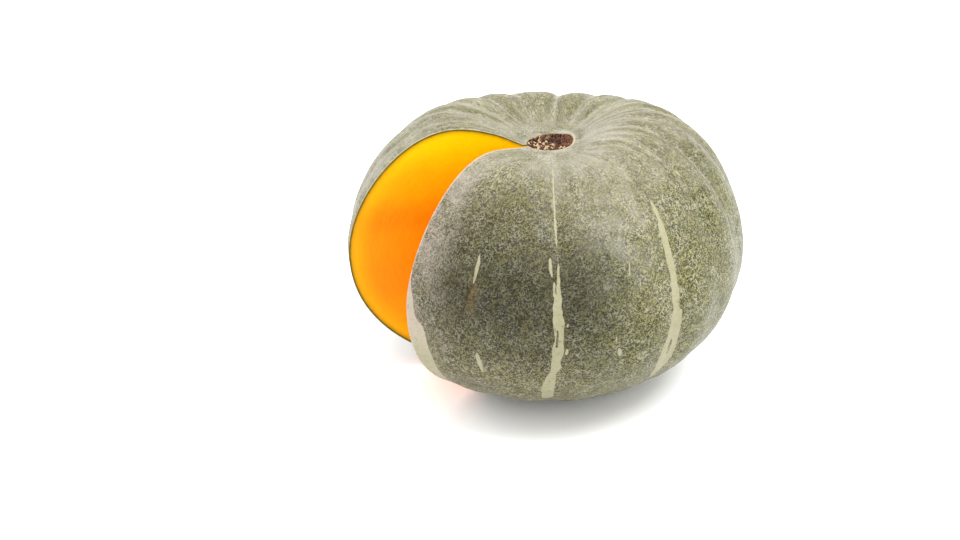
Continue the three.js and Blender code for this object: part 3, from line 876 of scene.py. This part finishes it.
def face_relief(out, z, shift):
    """How far a cut face is sunk, and its marks: pulp, sockets and strands, each from 0 to 1."""
    spot = np.stack([out, z, 0 * out + 40 * shift], -1)
    ragged = noise_at(spot, 9, 3, 2.0) * 0.05
    share = np.hypot(out / PULP_REACH, (z - PULP_MIDDLE) / PULP_HALF_HEIGHT) + ragged
    pulp = 1 - smooth(share, 0.88, 1.04)
    sockets = np.zeros(out.shape)
    for row_share, count in SOCKET_ROWS:
        for i in range(count):
            turn = SOCKET_FAN * ((i + 0.5 + shift) / count - 0.5)
            wander = 1.6 * math.sin(5.1 * i + 17 * row_share + 30 * shift)
            dx = out - row_share * PULP_REACH * cosd(turn) - wander * 0.5
            dz = z - PULP_MIDDLE - row_share * PULP_HALF_HEIGHT * sind(turn) - wander
            lean = turn + 9 * wander
            long = (dx * cosd(lean) + dz * sind(lean)) / SOCKET_HALF_LENGTH
            wide = (dz * cosd(lean) - dx * sind(lean)) / SOCKET_HALF_WIDTH
            sockets = np.maximum(sockets, np.exp(-((long**2 + wide**2) ** 1.5)))
    angle = np.degrees(np.arctan2(z - PULP_MIDDLE, out + 6))
    curl = noise_at(spot, 11, 2, 6.0)
    stretched = np.stack([share * 9 + 1.8 * curl, angle / 5.5 + 2.2 * curl, 0 * out + 7 * shift], -1)
    strands = (1 - np.abs(noise_at(stretched, 1.0, 3, 4.0)) * 2.6).clip(0, 1) ** 2
    lumps = noise_at(spot, 3.0, 3, 8.0)
    sunk = PULP_RECESS + SOCKET_DEPTH * sockets - 0.55 * strands * (1 - sockets) + 0.35 * lumps
    ease = smooth(out, 0, CORNER_EASE)
    return sunk * pulp * ease, pulp, sockets * pulp, strands * pulp


def make_cut_faces(points):
    """Both faces of the cut, from the corner line out to their rims on the rind's grid."""
    rows = slice(TOP_CORNER, BOTTOM_CORNER + 1)
    vertices, faces, marks = [], [], {}
    for side, cut, column, shift in ((-1, FAR_CUT, -1, 0.0), (1, NEAR_CUT, 0, 0.25)):
        rim = points[rows, column]
        along = np.array([cosd(cut), sind(cut), 0])
        inward = side * np.array([-along[1], along[0], 0])
        rim_out = (rim[:, :2] - CORNER) @ along[:2]
        length = np.concatenate([[0], np.cumsum(np.linalg.norm(np.diff(rim, axis=0), axis=1))])
        corner_z = rim[0, 2] + (rim[-1, 2] - rim[0, 2]) * length / length[-1]
        steps = 1 - (1 - np.linspace(0, 1, FACE_STEPS + 1)) ** 1.15  # closer together near the rim
        out = rim_out[:, None] * steps
        z = corner_z[:, None] + (rim[:, 2] - corner_z)[:, None] * steps
        sunk, pulp, sockets, strands = face_relief(out, z, shift)
        ragged = 1 + 0.5 * noise_at(np.stack([0 * z, 0 * z, z], -1), 5, 3, 1.0)
        high = (z - TORN_HEIGHT) / TORN_HALF_HEIGHT
        torn = TORN_DEPTH * ragged * np.exp(-(high**2) - (out / TORN_REACH) ** 2)
        place = np.zeros(out.shape + (3,))
        place[..., :2] = CORNER + out[..., None] * along[:2]
        place[..., 2] = z
        place[..., 0] += torn
        place = place + sunk[..., None] * inward
        place[:, -1] = rim

        # The coloured bands along the rim are half as wide at the corner.
        flat = np.stack([out, z], -1).reshape(-1, 2)
        edge = np.stack([rim_out, rim[:, 2]], -1)
        depth = rim_distance(flat, edge).reshape(out.shape) * (1 + np.exp(-out / 10))
        start = sum(len(v) for v in vertices)
        vertices.append(place.reshape(-1, 3))
        count = FACE_STEPS + 1
        for i in range(len(rim) - 1):
            for j in range(FACE_STEPS):
                a = start + i * count + j
                quad = (a, a + 1, a + count + 1, a + count)
                faces.append(quad if side > 0 else quad[::-1])
        around = length[:, None] * 0.09 + 0 * out
        fibre_place = np.stack([around, depth * 1.1, 0 * out + 50 * shift], -1)
        for key, value in (("depth", depth), ("pulp", pulp), ("socket", sockets), ("strand", strands),
                           ("level", z), ("fibre_place", fibre_place)):
            marks.setdefault(key, []).append(value.reshape(-1, *value.shape[2:]))
    attributes = {key: np.concatenate(value) for key, value in marks.items()}
    return new_piece("cut_flesh", np.vstack(vertices), faces, attributes, flesh_material())


def rim_distance(spots, edge):
    """Shortest distance from each spot to the line through the edge's points."""
    a, b = edge[:-1], edge[1:]
    along = b - a
    size = np.maximum((along**2).sum(1), 1e-12)
    best = np.full(len(spots), 1e9)
    for start, step, square in zip(a, along, size):
        t = np.clip(((spots - start) @ step) / square, 0, 1)
        gap = np.hypot(*(spots - start - t[:, None] * step).T)
        best = np.minimum(best, gap)
    return best


rind, rind_points = make_rind()
flesh = make_cut_faces(rind_points)
for piece in (rind, flesh):
    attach(piece, "root")
    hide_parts("squash")


# Stage

def floor_material():
    n = Nodes("pale_floor")
    tones = [(tone, tone, tone, 1) for tone in (FLOOR_TONE, FLOOR_TONE * 0.985)]
    return n.finish(Base_Color=n.mix(n.noise(n.millimetres(), 400, 2), *tones), Roughness=0.9)


def make_floor():
    mesh = bpy.data.meshes.new("floor")
    corners = [(x * FLOOR_HALF, y * FLOOR_HALF, 0) for x, y in ((-1, -1), (1, -1), (1, 1), (-1, 1))]
    mesh.from_pydata(corners, [], [(0, 1, 2, 3)])
    mesh.materials.append(floor_material())
    floor = bpy.data.objects.new("floor", mesh)
    bpy.context.scene.collection.objects.link(floor)


def look_at(place, target):
    """The matrix of a camera or lamp at place that faces target."""
    turn = (Vector(target) - Vector(place)).to_track_quat("-Z", "Y")
    return Matrix.Translation(Vector(place)) @ turn.to_matrix().to_4x4()


CAMERA_TURN = Matrix.Rotation(math.radians(CAMERA_BEARING - 270), 3, "Z")
STEM_FOOT = Vector((STEM[0] * MM, STEM[1] * MM, 0))


def from_camera(right, away, height):
    """A point in metres, from the stem axis: right and away as the camera sees them."""
    return STEM_FOOT + CAMERA_TURN @ Vector((right, away, height))


def make_camera():
    data = bpy.data.cameras.new("camera")
    data.lens, data.sensor_width = LENS, SENSOR
    data.clip_start, data.clip_end = 0.05, 50
    camera = bpy.data.objects.new("camera", data)
    bpy.context.scene.collection.objects.link(camera)
    aim = from_camera(-AIM_LEFT, 0, AIM_HEIGHT)
    lift = math.radians(CAMERA_ELEVATION)
    back = CAMERA_TURN @ Vector((0, -math.cos(lift), math.sin(lift)))
    camera.matrix_world = look_at(aim + back * CAMERA_DISTANCE, aim)
    bpy.context.scene.camera = camera


def make_lamp(name, place, target, size, watts):
    data = bpy.data.lights.new(name, "AREA")
    data.shape, data.size, data.energy = "SQUARE", size, watts
    lamp = bpy.data.objects.new(name, data)
    bpy.context.scene.collection.objects.link(lamp)
    lamp.matrix_world = look_at(place, target)


def make_light():
    world = bpy.data.worlds.new("studio")
    world.use_nodes = True
    back = world.node_tree.nodes["Background"]
    back.inputs["Color"].default_value = (1, 1, 1, 1)
    back.inputs["Strength"].default_value = WORLD_STRENGTH
    bpy.context.scene.world = world
    middle = from_camera(0, 0, 0.07)
    make_lamp("key", from_camera(0.46, -0.2, 1.15), middle, 0.75, KEY_WATTS)
    make_lamp("left", from_camera(-1.1, 0.5, 0.7), middle, 0.8, LEFT_WATTS)
    bpy.context.scene.view_settings.view_transform = "Standard"


make_floor()
make_camera()
make_light()
